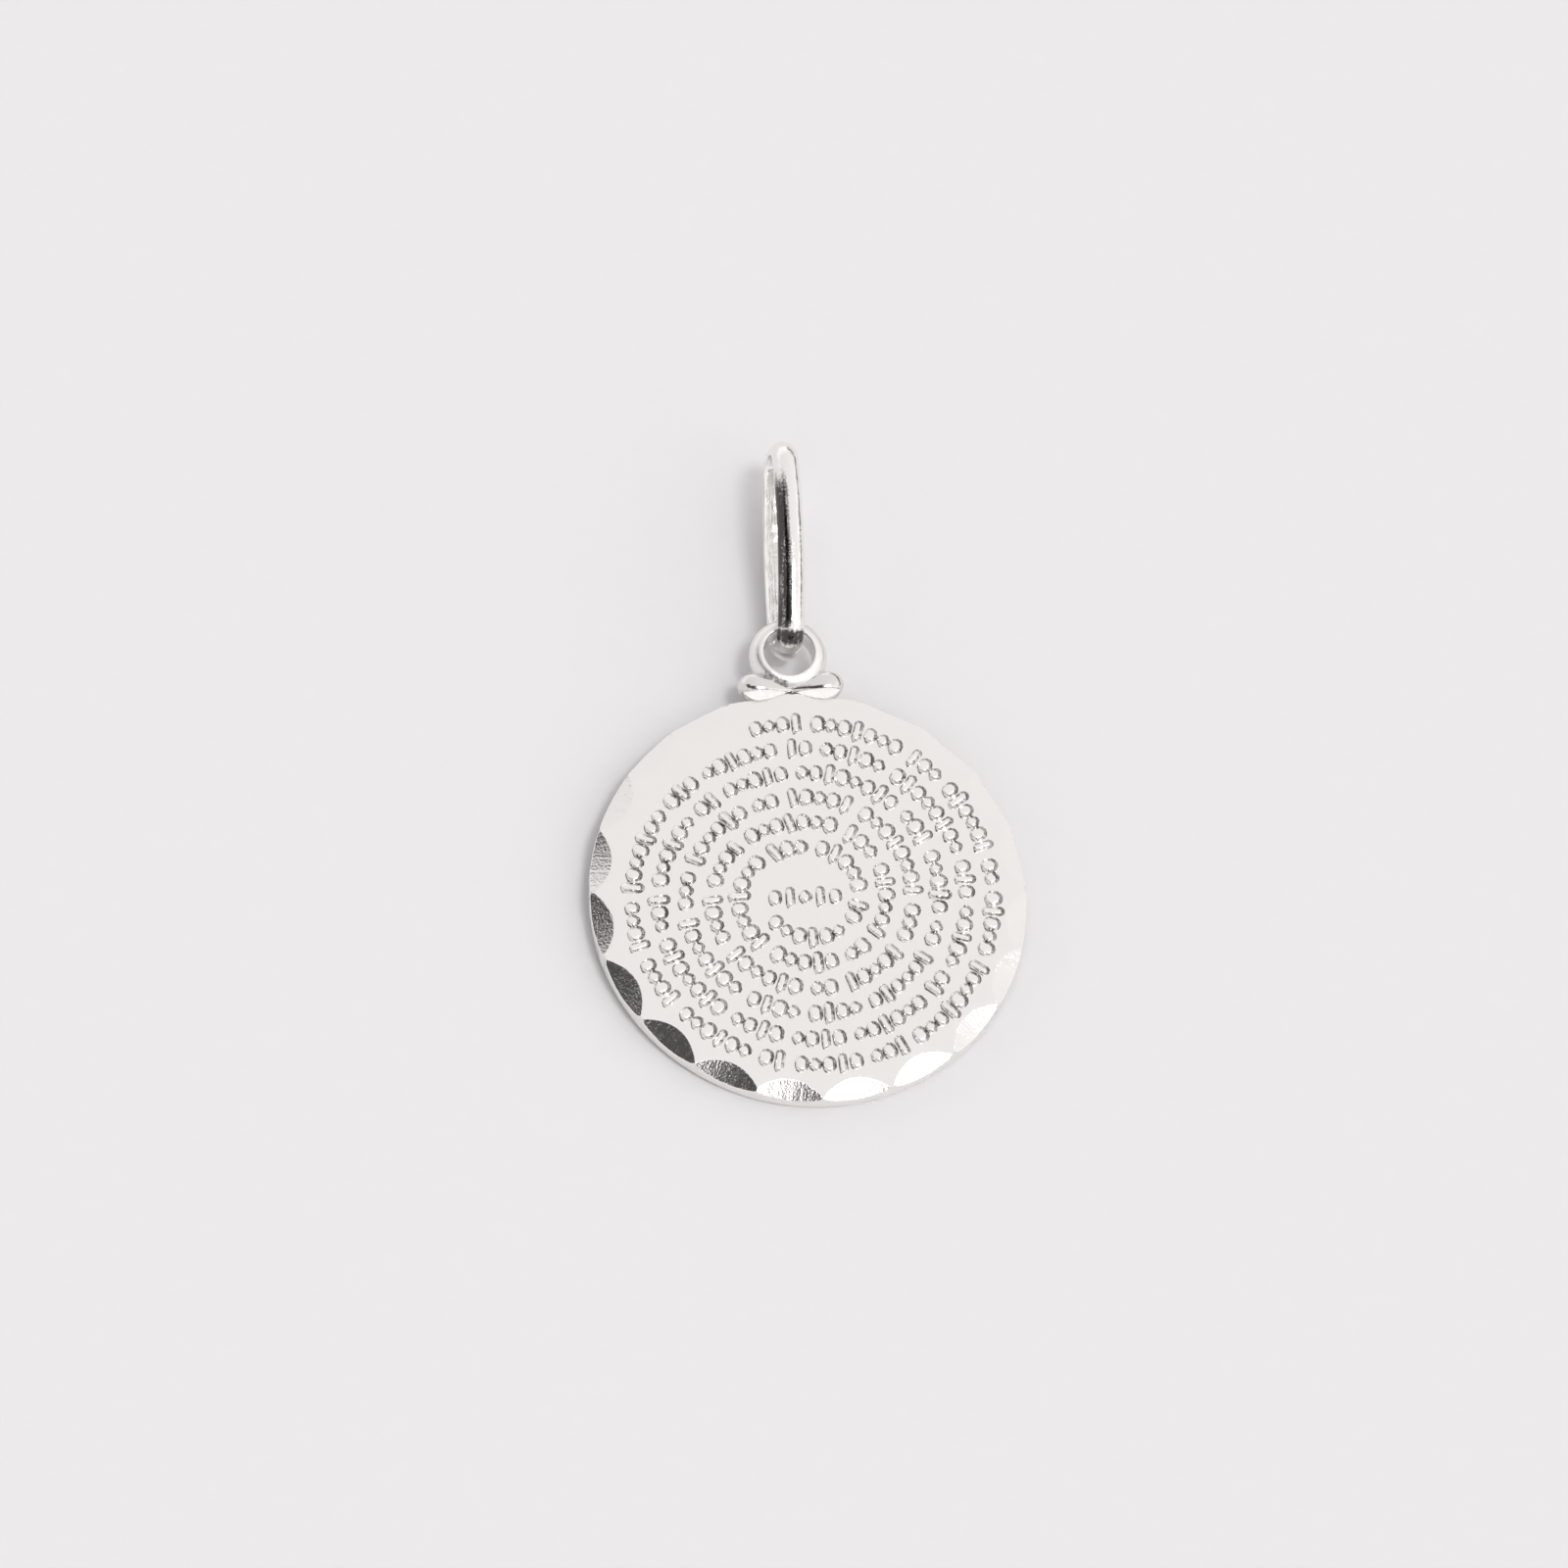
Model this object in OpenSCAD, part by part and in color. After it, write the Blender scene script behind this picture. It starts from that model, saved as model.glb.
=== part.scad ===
// A round cast silver medallion with its bail, lying on its back. Millimetres.
// The surface it lies on is z = 0, the eye is towards +Y, and the origin is at
// the middle of the bottom of the whole thing's box.

/* [Disc] */
// Diameter of the disc at its widest, near the back
disc_d = 18; // [17:0.5:20]
// Thickness of the disc
disc_t = 0.8; // [0.7:0.05:1.2]
// How much smaller the face's radius is than the back's
face_draft = 0.12; // [0.05:0.01:0.2]
// Chamfer that the polishing leaves on both edges of the rim
rim_chamfer = 0.08; // [0.04:0.01:0.12]

/* [Half-moon cuts] */
// How many cuts go round the rim
cut_count = 20; // [16:1:20]
// Radius of the round cutter
cutter_r = 4.6; // [4:0.1:6]
// How steeply each cut slopes down towards the rim, in degrees
cut_slope = 20; // [15:1:25]
// How far in from the rim a cut begins
cut_reach = 0.72; // [0.5:0.02:0.8]

/* [Raised ornament] */
// Height of the ornament above the face
relief_h = 0.16; // [0.1:0.01:0.2]
// Radius of the outermost row
row_r = 7.5; // [6:0.1:7.5]
// Distance between the rows
row_pitch = 1.1; // [1.05:0.05:1.3]
// Number of ornaments in the spiral
mark_count = 271; // [40:1:271]
// Distance between ornaments of one group
mark_step = 0.56; // [0.54:0.01:0.7]
// Extra distance between two groups
group_gap = 0.34; // [0.2:0.01:0.5]
// Width of a pearl
pearl_d = 0.5; // [0.4:0.01:0.5]
// Length of a reel, across the row
reel_l = 0.72; // [0.5:0.01:0.8]
// Width of a reel, along the row
reel_w = 0.17; // [0.12:0.01:0.2]

/* [Eye] */
// Diameter of the eye's hole
eye_hole_d = 2.1; // [2:0.05:2.3]
// Width of the ring round the hole
eye_wall = 0.57; // [0.5:0.01:0.65]
// Thickness of the ring, along the hole
eye_t = 1.1; // [1:0.05:1.2]
// Distance from the disc's rim to the middle of the hole
eye_reach = 1.75; // [1.7:0.01:1.8]

/* [Bow] */
// Length of the bow from tip to tip
bow_l = 4.44; // [4:0.02:4.8]
// Greatest thickness of a lobe
lobe_d = 1.16; // [1:0.02:1.2]
// How far the lobes' tips rise towards the eye, in degrees
lobe_rise = 4; // [0:1:6]

/* [Bail] */
// Width of the half-round wire, across its flat inner face
wire_w = 1.12; // [1:0.02:1.2]
// Thickness of the wire
wire_t = 0.62; // [0.55:0.01:0.65]
// Length of the loop inside
loop_l = 8.3; // [7.5:0.1:9]
// Height of the loop inside, at its middle
loop_h = 2.56; // [2.4:0.02:2.8]
// Radius of the loop's ends, inside
loop_end_r = 0.9; // [0.88:0.01:1]

/* [How it lies] */
// Tilt of the disc, whose eye rests on the bail's lower leg, in degrees
lie_tilt = 2.9; // [2.9:0.1:3.2]
// Rise of the bail towards its free end, in degrees
bail_pitch = 8; // [8:0.5:10]
// Turn of the bail to the right of the disc's axis, in degrees
bail_yaw = 2.2; // [0:0.1:3]
// Lean of the bail to the right, in degrees
bail_lean = 6; // [0:0.5:6]
// Gap between the bail and the eye's hole at the top of the hole
bail_gap = 0.5; // [0.45:0.01:0.55]

/* [Hidden] */
silver = [0.89, 0.88, 0.86];
bail_silver = [0.82, 0.82, 0.81];

disc_r = disc_d / 2;
face_r = disc_r - face_draft;
smooth = 96;

// The eye's ring stands out a little behind the disc, and its foot sinks into the bow,
// whose lobes stand out more in front than behind
eye_y = disc_r + eye_reach;
eye_r = eye_hole_d / 2 + eye_wall;
eye_back = -0.1;
eye_foot = 0.12;
lobe_y = eye_y - eye_r + eye_foot;
lobe_z = disc_t / 2 + 0.08;

// The block of the cutter that is kept: half its width, its depth below the face and
// how far it stands above it
cut_side = 1.7;
cut_down = 0.6;
cut_up = 0.02;
cut_out = 0.5;

// Half-moon cuts: the small drift of each cut round from its even place, in degrees,
// clockwise from the eye, as a hand-fed cutter leaves it
cut_drift = [0, 0, 0, 0, 0, 1, -1, -1, 0, 1, 1, 0, 0, 1, 2.5, 2, 2, 1, 0, 0];

// Ornament: how many marks each group has, in turn, and where the groups end
group_sizes = [4, 7, 3, 6, 2, 5, 8, 3, 5, 2, 6, 4];
function total(list, n) = n == 0 ? 0 : list[n - 1] + total(list, n - 1);
group_ends = [for (n = [1 : len(group_sizes)]) total(group_sizes, n)];
cycle = total(group_sizes, len(group_sizes));
function ends_group(i) = len([for (e = group_ends) if (i % cycle == e - 1) e]) > 0;

// A row keeps its radius for two thirds of a turn, then eases in to the next one
row_begins = -13;
ease_from = 240;
function ease(t) = t < 0 ? 0 : (1 - cos(180 * min(t, 1))) / 2;
function row_radius(a) = row_r
    - row_pitch * (floor(a / 360) + ease((a - 360 * floor(a / 360) - ease_from) / (360 - ease_from)));
function angle_step(i, a) = (mark_step + (ends_group(i) ? group_gap : 0)) / row_radius(max(a, 0)) * 180 / PI;
mark_angles = [for (i = 0, a = row_begins; i < mark_count; a = a + angle_step(i, a), i = i + 1) a];

// Ornament at the middle: a short straight row
middle_kinds = [0, 2, 1, 2, 0];
middle_step = 0.62;
middle_at = [-0.25, -0.2];

// Bail: the four arcs of the loop's inner line, and the round of the wire's section
half_l = loop_l / 2;
half_h = loop_h / 2;
long_r = ((half_l - loop_end_r) ^ 2 + half_h ^ 2 - loop_end_r ^ 2) / (2 * (half_h - loop_end_r));
long_turn = asin((half_l - loop_end_r) / (long_r - loop_end_r));
round_r = (wire_t ^ 2 + wire_w ^ 2 / 4) / (2 * wire_t);
round_at = wire_t - round_r;

// The disc turns up about the lowest line of its rim, lie_r from its middle.
// The loop's middle is as high as puts the lowest point of its lower leg on the surface
lie_r = disc_r - rim_chamfer;
bail_rise = (long_r + round_at) * sqrt(1 - (cos(bail_pitch) * sin(bail_lean)) ^ 2)
    - (long_r - half_h) * cos(bail_pitch) * cos(bail_lean) + round_r;
bail_near_z = bail_rise - half_l * sin(bail_pitch);
bail_near_y = (eye_y + eye_hole_d / 2 - bail_gap + lie_r - bail_near_z * sin(lie_tilt)) / cos(lie_tilt);
far_y = bail_near_y + (2 * half_l - loop_end_r) * cos(bail_pitch) * cos(bail_yaw) + loop_end_r + wire_t;
front_y = -rim_chamfer * (cos(lie_tilt) + sin(lie_tilt));
middle_y = (far_y + front_y) / 2;

// Puts the disc, drawn flat round its own centre, as it lies: its lower edge on the
// surface and its eye end raised
module lie() {
    translate([0, -middle_y, 0])
        rotate([lie_tilt, 0, 0])
            translate([0, lie_r, 0])
                children();
}

// The round plate, drawn as a profile so that its wall leans in and its edges are eased
module plate() {
    rotate_extrude($fn = smooth)
        polygon([
            [0, 0],
            [disc_r - rim_chamfer, 0],
            [disc_r, rim_chamfer],
            [face_r + rim_chamfer, disc_t - rim_chamfer],
            [face_r, disc_t],
            [0, disc_t]
        ]);
}

// One cut: the part of a round cutter that enters the face and slopes down and out past
// the rim. It ends just above the face, so that neighbouring cuts stay clear of each other
module half_moon() {
    intersection() {
        translate([face_r - cut_reach, 0, disc_t])
            rotate([0, 90 + cut_slope, 0])
                translate([-cutter_r, 0, -1])
                    cylinder(r = cutter_r, h = 4, $fn = smooth);
        translate([face_r - cut_reach - 0.1, -cut_side, disc_t - cut_down])
            cube([cut_reach + cut_out, 2 * cut_side, cut_down + cut_up]);
    }
}

module half_moons() {
    for (i = [0 : cut_count - 1])
        rotate([0, 0, 90 - (i + 0.5) * 360 / cut_count - cut_drift[i]])
            half_moon();
}

// The three ornaments, each standing on the face: 0 pearl, 1 lozenge, 2 reel
module mark(kind) {
    pearl_r = (pearl_d ^ 2 / 4 + relief_h ^ 2) / (2 * relief_h);
    if (kind == 0)
        translate([0, 0, relief_h - pearl_r])
            sphere(r = pearl_r, $fn = 24);
    if (kind == 1)
        translate([0, 0, -relief_h / 2])
            cylinder(r = pearl_d / 2, h = relief_h * 1.5, $fn = 4);
    if (kind == 2)
        translate([-reel_w / 2, -reel_l / 2, -relief_h / 2])
            cube([reel_w, reel_l, relief_h * 1.5]);
}

function mark_kind(i) = i % 4 == 1 ? 1 : i % 4 == 3 ? 2 : 0;

module ornament() {
    for (i = [0 : mark_count - 1])
        rotate([0, 0, -mark_angles[i]])
            translate([0, row_radius(max(mark_angles[i], 0)), disc_t])
                mark(mark_kind(i));
    for (i = [0 : len(middle_kinds) - 1])
        translate([middle_at[0] + (i - 2) * middle_step, middle_at[1], disc_t])
            mark(middle_kinds[i]);
}

// The eye's ring: flat round the hole and rounded outside
module eye_ring() {
    steps = 8;
    bevel = 0.06;
    crown = eye_wall - 0.1;
    translate([0, eye_y, eye_back + eye_t / 2])
        rotate_extrude($fn = smooth)
            polygon(concat(
                [[eye_hole_d / 2, -eye_t / 2 + bevel]],
                [for (i = [0 : steps])
                    [eye_r - crown + crown * sin(180 * i / steps), -eye_t / 2 * cos(180 * i / steps)]],
                [[eye_hole_d / 2, eye_t / 2 - bevel]]
            ));
}

// One lobe: a teardrop turned round its own length, fattest two thirds of the way out.
// Its neck passes a little over the middle, into the other lobe
module lobe() {
    steps = 12;
    neck = 0.22;
    swell = 2.2;
    over = 0.06;
    length = bow_l / 2 / (1 - neck);
    function bulge(t) = lobe_d / 2 * sqrt(sin(180 * t ^ swell));
    rotate([0, 90, 0])
        translate([0, 0, -neck * length])
            rotate_extrude($fn = 48)
                polygon(concat(
                    [[0, neck * length - over], [bulge(neck), neck * length - over]],
                    [for (i = [0 : steps - 1])
                        let (t = 1 - (1 - neck) * (1 - i / steps) ^ 1.6) [bulge(t), t * length]],
                    [[0, length]]
                ));
}

module bow() {
    for (side = [0, 1])
        mirror([side, 0, 0])
            translate([0, lobe_y, lobe_z])
                rotate([0, 0, lobe_rise])
                    lobe();
}

// The loop in its own plane, its length along X and its height along Y: a half-round
// section, flat on the inside, carried round the four arcs
module loop() {
    arc_steps = 11;
    sides = 11;
    end_turn = 180 - 2 * long_turn;
    // Columns: centre X, centre Y, inner radius, first angle, turn
    arcs = [
        [0, half_h - long_r, long_r, 90 + long_turn, -2 * long_turn],
        [half_l - loop_end_r, 0, loop_end_r, 90 - long_turn, -end_turn],
        [0, long_r - half_h, long_r, long_turn - 90, -2 * long_turn],
        [loop_end_r - half_l, 0, loop_end_r, -90 - long_turn, -end_turn]
    ];
    round_turn = acos(-round_at / round_r);
    section = [for (k = [0 : sides - 1])
        let (a = round_turn * (2 * k / (sides - 1) - 1))
            [round_at + round_r * cos(a), round_r * sin(a)]];
    stations = [for (c = arcs) for (i = [0 : arc_steps - 1])
        [c[0], c[1], c[2], c[3] + c[4] * i / arc_steps]];
    count = len(stations);
    polyhedron(
        points = [for (s = stations) for (p = section)
            [s[0] + (s[2] + p[0]) * cos(s[3]), s[1] + (s[2] + p[0]) * sin(s[3]), p[1]]],
        faces = [for (i = [0 : count - 1]) for (k = [0 : sides - 1])
            let (next = (i + 1) % count, up = (k + 1) % sides)
                [i * sides + up, i * sides + k, next * sides + k, next * sides + up]]
    );
}

module medallion() {
    color(silver)
        lie() {
            difference() {
                plate();
                half_moons();
            }
            ornament();
            eye_ring();
            bow();
        }
}

module bail() {
    color(bail_silver)
        translate([0, bail_near_y - middle_y, bail_near_z])
            rotate([0, 0, -bail_yaw])
                rotate([bail_pitch, 0, 0])
                    rotate([0, bail_lean, 0])
                        rotate([90, 0, 90])
                            translate([half_l, 0, 0])
                                loop();
}

medallion();
bail();
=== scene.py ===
from math import cos, pi, radians, sin

import bpy
import numpy as np
from mathutils import Matrix


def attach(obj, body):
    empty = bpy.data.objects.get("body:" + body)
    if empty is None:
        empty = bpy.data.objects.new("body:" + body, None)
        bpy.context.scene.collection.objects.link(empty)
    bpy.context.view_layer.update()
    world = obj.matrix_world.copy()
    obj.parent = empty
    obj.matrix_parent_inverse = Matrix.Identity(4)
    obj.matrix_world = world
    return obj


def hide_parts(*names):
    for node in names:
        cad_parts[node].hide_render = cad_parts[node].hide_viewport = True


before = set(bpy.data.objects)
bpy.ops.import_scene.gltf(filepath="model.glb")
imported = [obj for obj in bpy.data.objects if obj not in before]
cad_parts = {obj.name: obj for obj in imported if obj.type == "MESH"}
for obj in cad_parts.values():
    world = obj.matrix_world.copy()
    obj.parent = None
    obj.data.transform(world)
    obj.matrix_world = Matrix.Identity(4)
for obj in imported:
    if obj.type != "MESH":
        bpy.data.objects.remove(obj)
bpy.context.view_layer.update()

# The medal lies on its back: a cast silver disc, pressed flat behind, whose eye is
# held up by the bail's lower leg, so that it rests on the lowest line of its rim.
# Its rim is bright-cut with twenty half-moons, each one pass of a round cutter.
MM = 0.001
lie_tilt = radians(2.9)
lie_r = 8.92
lie_back = 14.4656
disc_r = 9.0
disc_t = 0.8
face_r = 8.88
rim_chamfer = 0.08
# Each half-moon begins at cut_from and goes down outwards. They were set by hand:
# cut_drift is how many degrees clockwise each one is off its even place.
cut_count = 20
cutter_r = 4.6
cut_slope = radians(20)
cut_from = 8.16
cut_drift = np.array([0, 0, 0, 0, 0, 1, -1, -1, 0, 1, 1, 0, 0, 1, 2.5, 2, 2, 1, 0, 0])
columns_per_cut = 40
column_crowding = 0.6
rows_in_cut = np.linspace(0.14, 0.86, 9)
face_shares = (0.02, 0.2, 0.4, 0.6, 0.8, 0.95)
eased_edge = 0.045
edge_steps = 5
# The half-moons show most opposite this place, and fade out as they near the eye
shows_at = 207
fade_from = 80
fade_over = 25
flat_least = 0.68
flat_most = 0.95
slope_lost = 0.75


def as_it_lies(points):
    """Points of the disc's own frame, in mm, turned up about the lowest line of the rim
    and moved back by lie_back."""
    x, y, z = np.moveaxis(points, -1, 0)
    y = y + lie_r
    return np.stack([
        x,
        y * cos(lie_tilt) - z * sin(lie_tilt) - lie_back,
        y * sin(lie_tilt) + z * cos(lie_tilt),
    ], axis=-1)


def closed_piece(name, points, faces):
    """A smooth-shaded mesh of these points, in mm, whose faces are turned to point
    outwards: the sum of the volumes between each face and the origin is positive."""
    corners = points[faces]
    volume = np.einsum(
        "ij,ij->", corners[:, 0], np.cross(corners[:, 1], corners[:, 2])
    ) + np.einsum("ij,ij->", corners[:, 0], np.cross(corners[:, 2], corners[:, 3]))
    if volume < 0:
        faces = faces[:, ::-1]
    mesh = bpy.data.meshes.new(name)
    lists = [[c for k, c in enumerate(f) if c != f[k - 1]] for f in faces.tolist()]
    mesh.from_pydata((points * MM).tolist(), [], lists)
    mesh.shade_smooth()
    mesh.validate()
    made = bpy.data.objects.new(name, mesh)
    bpy.context.scene.collection.objects.link(made)
    return made


def grid_faces(rows, columns, round_rows=False):
    """The corners of the quads of a grid whose columns go round, and whose last row
    joins the first one where round_rows is true."""
    row = np.arange(rows if round_rows else rows - 1)[:, None]
    column = np.arange(columns)[None, :]
    a = row * columns + column
    b = row * columns + (column + 1) % columns
    up = (row + 1) % rows * columns
    return np.stack([a, b, up + (column + 1) % columns, up + column], -1).reshape(-1, 4)


def fan_faces(row_start, columns, middle):
    """The corners of the triangles from one row to a middle point, as quads with the
    middle twice."""
    column = np.arange(columns)
    here = row_start + column
    after = row_start + (column + 1) % columns
    centre = np.full(columns, middle)
    return np.stack([here, after, centre, centre], -1)


def eased(before, corner, after, reach, most=0.45):
    """Points that round a corner: a parabola from reach before it to reach after it,
    but never further along a side than this share of it."""
    back = before - corner
    on = after - corner
    back_l = np.linalg.norm(back, axis=-1, keepdims=True)
    on_l = np.linalg.norm(on, axis=-1, keepdims=True)
    start = corner + back * np.minimum(most, reach / back_l)
    end = corner + on * np.minimum(most, reach / on_l)
    t = np.linspace(0, 1, edge_steps)[:, None, None]
    return (1 - t) ** 2 * start + 2 * t * (1 - t) * corner + t ** 2 * end


def wall_r(z):
    """Radius of the rim's wall at a height: it leans in towards the face, with an edge
    eased at 45 degrees on top."""
    lean = (disc_r - face_r - rim_chamfer) / (disc_t - 2 * rim_chamfer)
    return np.minimum(disc_r - lean * (z - rim_chamfer), face_r + disc_t - z)


cut_at = (np.arange(cut_count) + 0.5) * 360 / cut_count + cut_drift
cusp_before = (cut_at + np.roll(cut_at, 1)) / 2
# Taken across the eye, the first mean is half a turn off
cusp_before[0] -= 180
share = np.arange(columns_per_cut) / columns_per_cut
share = share - column_crowding * np.sin(2 * pi * share) / (2 * pi)
cut_span = np.append(cusp_before[1:], cusp_before[0] + 360) - cusp_before
clockwise = (cusp_before[:, None] + cut_span[:, None] * share).ravel()
across = np.radians(clockwise - np.repeat(cut_at, columns_per_cut))


def cut_z(r):
    """Height of a half-moon at radius r on each column: the lower side of a cylinder
    whose axis slopes outwards and down."""
    run = r * np.cos(across) - cut_from
    side = r * np.sin(across)
    dip = cutter_r - np.sqrt(cutter_r ** 2 - side ** 2)
    return disc_t + (dip - run * sin(cut_slope)) / cos(cut_slope)


def cut_inner_r():
    """Radius at which each column meets the half-moon's inner edge: the nearer root of
    the quadratic where the cylinder's height is the face's."""
    c, s, a = np.cos(across), np.sin(across), sin(cut_slope)
    square = s ** 2 + (a * c) ** 2
    linear = 2 * a * c * (a * cut_from + cutter_r)
    constant = (a * cut_from) ** 2 + 2 * cutter_r * a * cut_from
    return (linear - np.sqrt(linear ** 2 - 4 * square * constant)) / (2 * square)


# Where the half-moons meet the wall: the radius and the height settle in a few turns
least_cut = 0.012
settling_turns = 24
inner_r = np.minimum(cut_inner_r(), face_r - least_cut)
outer_r = np.full_like(inner_r, face_r)
for _ in range(settling_turns):
    outer_r = wall_r(np.minimum(cut_z(outer_r), disc_t))
outer_z = np.minimum(cut_z(outer_r), disc_t)
turn = np.radians(clockwise)


def ring_at(r, z):
    """A row of points at these radii and heights, clockwise from the eye."""
    r = np.broadcast_to(r, turn.shape)
    return np.stack([r * np.sin(turn), r * np.cos(turn), np.broadcast_to(z, turn.shape)], -1)


inner_edge = ring_at(inner_r, disc_t)
outer_edge = ring_at(outer_r, outer_z)
wall_foot = ring_at(disc_r, rim_chamfer)
back_edge = ring_at(disc_r - rim_chamfer, 0.0)
face_rows = [ring_at(inner_r * t, disc_t) for t in face_shares]
cut_rows = []
for t in rows_in_cut:
    r = inner_r + (outer_r - inner_r) * t
    cut_rows.append(ring_at(r, np.minimum(cut_z(r), disc_t)))
back_rows = [ring_at(lie_r * t, 0.0) for t in face_shares[::-1]]
top = np.concatenate([
    face_rows,
    eased(face_rows[-1], inner_edge, cut_rows[0], eased_edge),
    cut_rows,
    eased(cut_rows[-1], outer_edge, wall_foot, eased_edge),
])
rows = np.concatenate([
    top,
    eased(outer_edge, wall_foot, back_edge, eased_edge),
    eased(wall_foot, back_edge, back_rows[0], eased_edge),
    back_rows,
])
row_count, column_count = rows.shape[:2]
points = np.concatenate([rows.reshape(-1, 3), [[0, 0, disc_t], [0, 0, 0]]])
last = row_count * column_count
faces = np.concatenate([
    grid_faces(row_count, column_count),
    fan_faces(0, column_count, last)[:, [1, 0, 2, 3]],
    fan_faces((row_count - 1) * column_count, column_count, last + 1),
])
disc = closed_piece("disc", as_it_lies(points), faces)


def put_values(mesh, name, values):
    """Keep a number or a vector for each point of the mesh, for its material to read."""
    kind, field = ("FLOAT_VECTOR", "vector") if values.ndim == 2 else ("FLOAT", "value")
    made = mesh.attributes.new(name, kind, "POINT")
    made.data.foreach_set(field, values.astype(np.float32).ravel())


def lean_normals(mesh, weight, towards):
    """Turn the mesh's normals towards these ones, by a weight for each point."""
    normals = np.empty(len(mesh.vertices) * 3, np.float32)
    mesh.vertex_normals.foreach_get("vector", normals)
    normals = normals.reshape(-1, 3) * (1 - weight) + towards * weight
    normals /= np.linalg.norm(normals, axis=1, keepdims=True)
    mesh.normals_split_custom_set_from_vertices(normals.tolist())


narrow_cut = 0.05
half_edge = edge_steps // 2
after_edge = len(face_rows) + edge_steps
after_cut = after_edge + len(cut_rows) + half_edge
bright = np.zeros(len(points))
bright[(len(face_rows) + half_edge) * column_count:after_cut * column_count] = 1
bright[:last] *= np.tile(outer_r - inner_r > narrow_cut, row_count)
put_values(disc.data, "bright_cut", bright)
# The cutter leaves each half-moon nearly flat, so the normals there lean towards the one
# in its middle. Round the eye the polishing has softened them until they hardly show.
flat_rows = np.zeros(row_count)
flat_rows[len(face_rows):after_edge] = (0.1, 0.5, 0.9, 1, 1)
flat_rows[after_edge:after_edge + len(cut_rows)] = 1
flat_rows[after_cut - 2:after_cut + 2] = (0.95, 0.7, 0.35, 0.1)
from_eye = ((np.abs(cut_at - shows_at) - fade_from) / fade_over).clip(0, 1)
from_eye = from_eye ** 2 * (3 - 2 * from_eye)
flatness = flat_least + (flat_most - flat_least) * np.repeat(from_eye, columns_per_cut)
flatness = flatness * ((outer_r - inner_r - 0.01) / narrow_cut).clip(0, 1)
flatness = np.append((flat_rows[:, None] * flatness).ravel(), [0, 0])[:, None]
seen_slope = cut_slope * (1 - slope_lost * from_eye)
middle = np.stack([
    np.sin(seen_slope) * np.sin(np.radians(cut_at)),
    np.sin(seen_slope) * np.cos(np.radians(cut_at)),
    np.cos(seen_slope),
], -1)
facing = np.tile(np.repeat(middle, columns_per_cut, axis=0), (row_count, 1))
facing = as_it_lies(np.append(facing, [[0, 0, 1], [0, 0, -1]], axis=0)) - as_it_lies(np.zeros(3))
lean_normals(disc.data, flatness, facing)
# Each cut has its own frame for the cutter's lines, set apart from the next one's
pass_gap = 9
radius = np.hypot(points[:, 0], points[:, 1])
pass_angle = np.append(np.tile(across, row_count), [0, 0])
pass_number = np.tile(np.repeat(np.arange(cut_count), columns_per_cut), row_count)
pass_number = np.append(pass_number, [0, 0])
cutter_pass = np.stack([
    radius * np.sin(pass_angle), radius * np.cos(pass_angle), pass_gap * pass_number
], -1)
put_values(disc.data, "cutter_pass", cutter_pass * MM)


def new_material(name):
    """An empty node material, with its shader and the coordinates of the object."""
    material = bpy.data.materials.new(name)
    material.use_nodes = True
    nodes = material.node_tree.nodes
    shader = nodes["Principled BSDF"]
    where = nodes.new("ShaderNodeTexCoord").outputs["Object"]
    return material, nodes, material.node_tree.links, shader, where


skin = bpy.data.node_groups.new("silver_skin", "ShaderNodeTree")
for label in ("Place", "Run"):
    skin.interface.new_socket(label, in_out="INPUT", socket_type="NodeSocketVector")
for label in ("Grain Size", "Grain", "Peel", "Lines"):
    skin.interface.new_socket(label, in_out="INPUT", socket_type="NodeSocketFloat")
for label in ("Height", "Fine"):
    skin.interface.new_socket(label, in_out="OUTPUT", socket_type="NodeSocketFloat")
skin_in = skin.nodes.new("NodeGroupInput")
skin_out = skin.nodes.new("NodeGroupOutput")


def skin_noise(place, scale, detail, stretch=(1, 1, 1)):
    """A noise of that scale on one of the group's coordinates, stretched along its axes."""
    stretched = skin.nodes.new("ShaderNodeVectorMath")
    stretched.operation = "MULTIPLY"
    stretched.inputs[1].default_value = stretch
    skin.links.new(skin_in.outputs[place], stretched.inputs[0])
    noise = skin.nodes.new("ShaderNodeTexNoise")
    noise.inputs["Detail"].default_value = detail
    if isinstance(scale, float):
        noise.inputs["Scale"].default_value = scale
    else:
        skin.links.new(scale, noise.inputs["Scale"])
    skin.links.new(stretched.outputs[0], noise.inputs["Vector"])
    return noise.outputs["Fac"]


def skin_maths(operation, a, b):
    """One Math node of the group on two sockets, or on a socket and a number."""
    node = skin.nodes.new("ShaderNodeMath")
    node.operation = operation
    skin.links.new(a, node.inputs[0])
    if isinstance(b, float):
        node.inputs[1].default_value = b
    else:
        skin.links.new(b, node.inputs[1])
    return node.outputs[0]


peel_size = 1300.0
line_size = 9000.0
line_stretch = (1, 0.06, 0.06)
grain = skin_noise("Place", skin_in.outputs["Grain Size"], 2.0)
peel = skin_noise("Place", peel_size, 1.0)
lines = skin_noise("Run", line_size, 2.0, line_stretch)
total = None
for noise, amount in ((grain, "Grain"), (peel, "Peel"), (lines, "Lines")):
    part = skin_maths("MULTIPLY", skin_maths("SUBTRACT", noise, 0.5), skin_in.outputs[amount])
    total = skin_maths("ADD", total, part) if total else part
skin.links.new(total, skin_out.inputs["Height"])
skin.links.new(skin_maths("MULTIPLY", grain, lines), skin_out.inputs["Fine"])

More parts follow.
